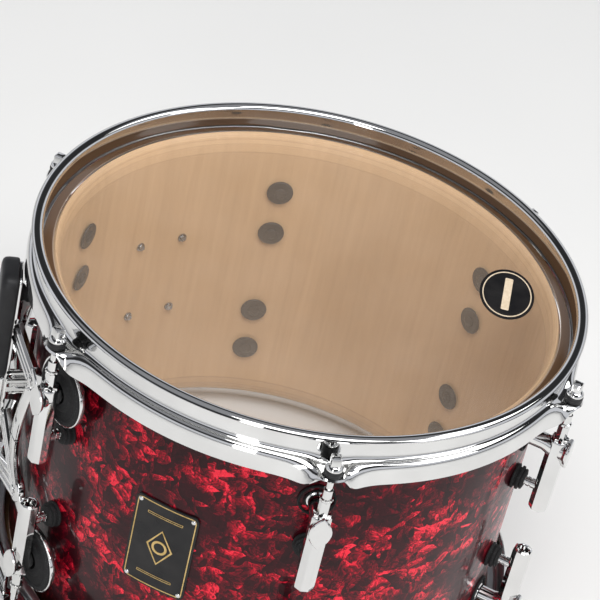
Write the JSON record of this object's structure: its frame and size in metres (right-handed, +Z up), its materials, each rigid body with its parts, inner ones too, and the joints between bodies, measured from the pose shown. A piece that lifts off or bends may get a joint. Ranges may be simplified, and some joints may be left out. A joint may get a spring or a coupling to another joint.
{
  "type": "rack tom drum",
  "caption": "Rack tom drum: covered wooden shell between two tensioned heads in flanged hoops, with tube lugs and an isolation mount that takes a tom arm.",
  "frame": {"origin": "centre of the mouth of the socket that takes the tom arm, at the lower end of the clamp column on the drum's -Y side", "axes": "+Z up the drum's axis towards the batter head, +Y from the socket towards the drum's axis, +X to the right seen from the mount's side"},
  "size_m": [0.3936, 0.4018, 0.2558],
  "materials": {
    "wood": "lacquered maple, satin",
    "red_pearl": "gloss pearl covering, red over near black",
    "film": "clear polyester film, slightly hazy",
    "aluminium": "plain drawn ring",
    "chrome": "polished chrome plate",
    "black_plastic": "black moulded plastic",
    "rubber": "black moulded rubber"
  },
  "bodies": {
    "drum": {"shell": "wood", "shell_wrap": "red_pearl", "batter_head_film": "film", "resonant_head_film": "film", "batter_flesh_hoop": "aluminium", "resonant_flesh_hoop": "aluminium", "batter_hoop": "chrome", "resonant_hoop": "chrome", "badge_left": "black_plastic", "badge_right": "black_plastic", "mount_plate": "chrome", "mount_pad": "black_plastic", "mount_bumper": "rubber", "clamp_column": "chrome", "mount_arm_upper_left": "chrome", "isolator_upper_left": "rubber", "mount_arm_upper_right": "chrome", "isolator_upper_right": "rubber", "mount_arm_lower_left": "chrome", "isolator_lower_left": "rubber", "mount_arm_lower_right": "chrome", "isolator_lower_right": "rubber", "lug_batter_1": "chrome", "lug_batter_2": "chrome", "lug_batter_3": "chrome", "lug_batter_4": "chrome", "lug_batter_5": "chrome", "lug_batter_6": "chrome", "lug_resonant_1": "chrome", "lug_resonant_2": "chrome", "lug_resonant_3": "chrome", "lug_resonant_4": "chrome", "lug_resonant_5": "chrome", "lug_resonant_6": "chrome"},
    "rod_washer_batter_1": {"rod_washer_batter_1": "black_plastic"},
    "tension_rod_batter_1": {"tension_rod_batter_1": "chrome"},
    "rod_washer_batter_2": {"rod_washer_batter_2": "black_plastic"},
    "tension_rod_batter_2": {"tension_rod_batter_2": "chrome"},
    "rod_washer_batter_3": {"rod_washer_batter_3": "black_plastic"},
    "tension_rod_batter_3": {"tension_rod_batter_3": "chrome"},
    "rod_washer_batter_4": {"rod_washer_batter_4": "black_plastic"},
    "tension_rod_batter_4": {"tension_rod_batter_4": "chrome"},
    "rod_washer_batter_5": {"rod_washer_batter_5": "black_plastic"},
    "tension_rod_batter_5": {"tension_rod_batter_5": "chrome"},
    "rod_washer_batter_6": {"rod_washer_batter_6": "black_plastic"},
    "tension_rod_batter_6": {"tension_rod_batter_6": "chrome"},
    "rod_washer_resonant_1": {"rod_washer_resonant_1": "black_plastic"},
    "tension_rod_resonant_1": {"tension_rod_resonant_1": "chrome"},
    "rod_washer_resonant_2": {"rod_washer_resonant_2": "black_plastic"},
    "tension_rod_resonant_2": {"tension_rod_resonant_2": "chrome"},
    "rod_washer_resonant_3": {"rod_washer_resonant_3": "black_plastic"},
    "tension_rod_resonant_3": {"tension_rod_resonant_3": "chrome"},
    "rod_washer_resonant_4": {"rod_washer_resonant_4": "black_plastic"},
    "tension_rod_resonant_4": {"tension_rod_resonant_4": "chrome"},
    "rod_washer_resonant_5": {"rod_washer_resonant_5": "black_plastic"},
    "tension_rod_resonant_5": {"tension_rod_resonant_5": "chrome"},
    "rod_washer_resonant_6": {"rod_washer_resonant_6": "black_plastic"},
    "tension_rod_resonant_6": {"tension_rod_resonant_6": "chrome"},
    "clamp_washer": {"clamp_washer": "chrome"},
    "wing_screw": {"wing_screw": "chrome"}
  },
  "joints": [
    {"name": "tension_rod_batter_1_lift", "type": "slide", "parent": "drum", "child": "rod_washer_batter_1", "axis": [0, 0, 1], "range_m": [0, 0.012]},
    {"name": "tension_rod_batter_1_turn", "type": "hinge", "parent": "rod_washer_batter_1", "child": "tension_rod_batter_1", "pos_m": [0.0926, 0.03261, 0.1736], "axis": [0, 0, 1], "range_deg": [0, 4320]},
    {"name": "tension_rod_batter_2_lift", "type": "slide", "parent": "drum", "child": "rod_washer_batter_2", "axis": [0, 0, 1], "range_m": [0, 0.012]},
    {"name": "tension_rod_batter_2_turn", "type": "hinge", "parent": "rod_washer_batter_2", "child": "tension_rod_batter_2", "pos_m": [0.1852, 0.193, 0.1736], "axis": [0, 0, 1], "range_deg": [0, 4320]},
    {"name": "tension_rod_batter_3_lift", "type": "slide", "parent": "drum", "child": "rod_washer_batter_3", "axis": [0, 0, 1], "range_m": [0, 0.012]},
    {"name": "tension_rod_batter_3_turn", "type": "hinge", "parent": "rod_washer_batter_3", "child": "tension_rod_batter_3", "pos_m": [0.0926, 0.35339, 0.1736], "axis": [0, 0, 1], "range_deg": [0, 4320]},
    {"name": "tension_rod_batter_4_lift", "type": "slide", "parent": "drum", "child": "rod_washer_batter_4", "axis": [0, 0, 1], "range_m": [0, 0.012]},
    {"name": "tension_rod_batter_4_turn", "type": "hinge", "parent": "rod_washer_batter_4", "child": "tension_rod_batter_4", "pos_m": [-0.0926, 0.35339, 0.1736], "axis": [0, 0, 1], "range_deg": [0, 4320]},
    {"name": "tension_rod_batter_5_lift", "type": "slide", "parent": "drum", "child": "rod_washer_batter_5", "axis": [0, 0, 1], "range_m": [0, 0.012]},
    {"name": "tension_rod_batter_5_turn", "type": "hinge", "parent": "rod_washer_batter_5", "child": "tension_rod_batter_5", "pos_m": [-0.1852, 0.193, 0.1736], "axis": [0, 0, 1], "range_deg": [0, 4320]},
    {"name": "tension_rod_batter_6_lift", "type": "slide", "parent": "drum", "child": "rod_washer_batter_6", "axis": [0, 0, 1], "range_m": [0, 0.012]},
    {"name": "tension_rod_batter_6_turn", "type": "hinge", "parent": "rod_washer_batter_6", "child": "tension_rod_batter_6", "pos_m": [-0.0926, 0.03261, 0.1736], "axis": [0, 0, 1], "range_deg": [0, 4320]},
    {"name": "tension_rod_resonant_1_lift", "type": "slide", "parent": "drum", "child": "rod_washer_resonant_1", "axis": [0, 0, -1], "range_m": [0, 0.012]},
    {"name": "tension_rod_resonant_1_turn", "type": "hinge", "parent": "rod_washer_resonant_1", "child": "tension_rod_resonant_1", "pos_m": [0.0926, 0.03261, -0.0502], "axis": [0, 0, -1], "range_deg": [0, 4320]},
    {"name": "tension_rod_resonant_2_lift", "type": "slide", "parent": "drum", "child": "rod_washer_resonant_2", "axis": [0, 0, -1], "range_m": [0, 0.012]},
    {"name": "tension_rod_resonant_2_turn", "type": "hinge", "parent": "rod_washer_resonant_2", "child": "tension_rod_resonant_2", "pos_m": [0.1852, 0.193, -0.0502], "axis": [0, 0, -1], "range_deg": [0, 4320]},
    {"name": "tension_rod_resonant_3_lift", "type": "slide", "parent": "drum", "child": "rod_washer_resonant_3", "axis": [0, 0, -1], "range_m": [0, 0.012]},
    {"name": "tension_rod_resonant_3_turn", "type": "hinge", "parent": "rod_washer_resonant_3", "child": "tension_rod_resonant_3", "pos_m": [0.0926, 0.35339, -0.0502], "axis": [0, 0, -1], "range_deg": [0, 4320]},
    {"name": "tension_rod_resonant_4_lift", "type": "slide", "parent": "drum", "child": "rod_washer_resonant_4", "axis": [0, 0, -1], "range_m": [0, 0.012]},
    {"name": "tension_rod_resonant_4_turn", "type": "hinge", "parent": "rod_washer_resonant_4", "child": "tension_rod_resonant_4", "pos_m": [-0.0926, 0.35339, -0.0502], "axis": [0, 0, -1], "range_deg": [0, 4320]},
    {"name": "tension_rod_resonant_5_lift", "type": "slide", "parent": "drum", "child": "rod_washer_resonant_5", "axis": [0, 0, -1], "range_m": [0, 0.012]},
    {"name": "tension_rod_resonant_5_turn", "type": "hinge", "parent": "rod_washer_resonant_5", "child": "tension_rod_resonant_5", "pos_m": [-0.1852, 0.193, -0.0502], "axis": [0, 0, -1], "range_deg": [0, 4320]},
    {"name": "tension_rod_resonant_6_lift", "type": "slide", "parent": "drum", "child": "rod_washer_resonant_6", "axis": [0, 0, -1], "range_m": [0, 0.012]},
    {"name": "tension_rod_resonant_6_turn", "type": "hinge", "parent": "rod_washer_resonant_6", "child": "tension_rod_resonant_6", "pos_m": [-0.0926, 0.03261, -0.0502], "axis": [0, 0, -1], "range_deg": [0, 4320]},
    {"name": "wing_screw_lift", "type": "slide", "parent": "drum", "child": "clamp_washer", "axis": [0, -1, 0], "range_m": [0, 0.006]},
    {"name": "wing_screw_turn", "type": "hinge", "parent": "clamp_washer", "child": "wing_screw", "pos_m": [0, -0.0132, 0.036], "axis": [0, -1, 0], "range_deg": [0, 2160]}
  ],
  "couplings": [
    {"joint": "tension_rod_batter_1_turn", "follows": "tension_rod_batter_1_lift", "rad_per_m": 6283.2},
    {"joint": "tension_rod_batter_2_turn", "follows": "tension_rod_batter_2_lift", "rad_per_m": 6283.2},
    {"joint": "tension_rod_batter_3_turn", "follows": "tension_rod_batter_3_lift", "rad_per_m": 6283.2},
    {"joint": "tension_rod_batter_4_turn", "follows": "tension_rod_batter_4_lift", "rad_per_m": 6283.2},
    {"joint": "tension_rod_batter_5_turn", "follows": "tension_rod_batter_5_lift", "rad_per_m": 6283.2},
    {"joint": "tension_rod_batter_6_turn", "follows": "tension_rod_batter_6_lift", "rad_per_m": 6283.2},
    {"joint": "tension_rod_resonant_1_turn", "follows": "tension_rod_resonant_1_lift", "rad_per_m": 6283.2},
    {"joint": "tension_rod_resonant_2_turn", "follows": "tension_rod_resonant_2_lift", "rad_per_m": 6283.2},
    {"joint": "tension_rod_resonant_3_turn", "follows": "tension_rod_resonant_3_lift", "rad_per_m": 6283.2},
    {"joint": "tension_rod_resonant_4_turn", "follows": "tension_rod_resonant_4_lift", "rad_per_m": 6283.2},
    {"joint": "tension_rod_resonant_5_turn", "follows": "tension_rod_resonant_5_lift", "rad_per_m": 6283.2},
    {"joint": "tension_rod_resonant_6_turn", "follows": "tension_rod_resonant_6_lift", "rad_per_m": 6283.2},
    {"joint": "wing_screw_turn", "follows": "wing_screw_lift", "rad_per_m": 6283.2}
  ]
}
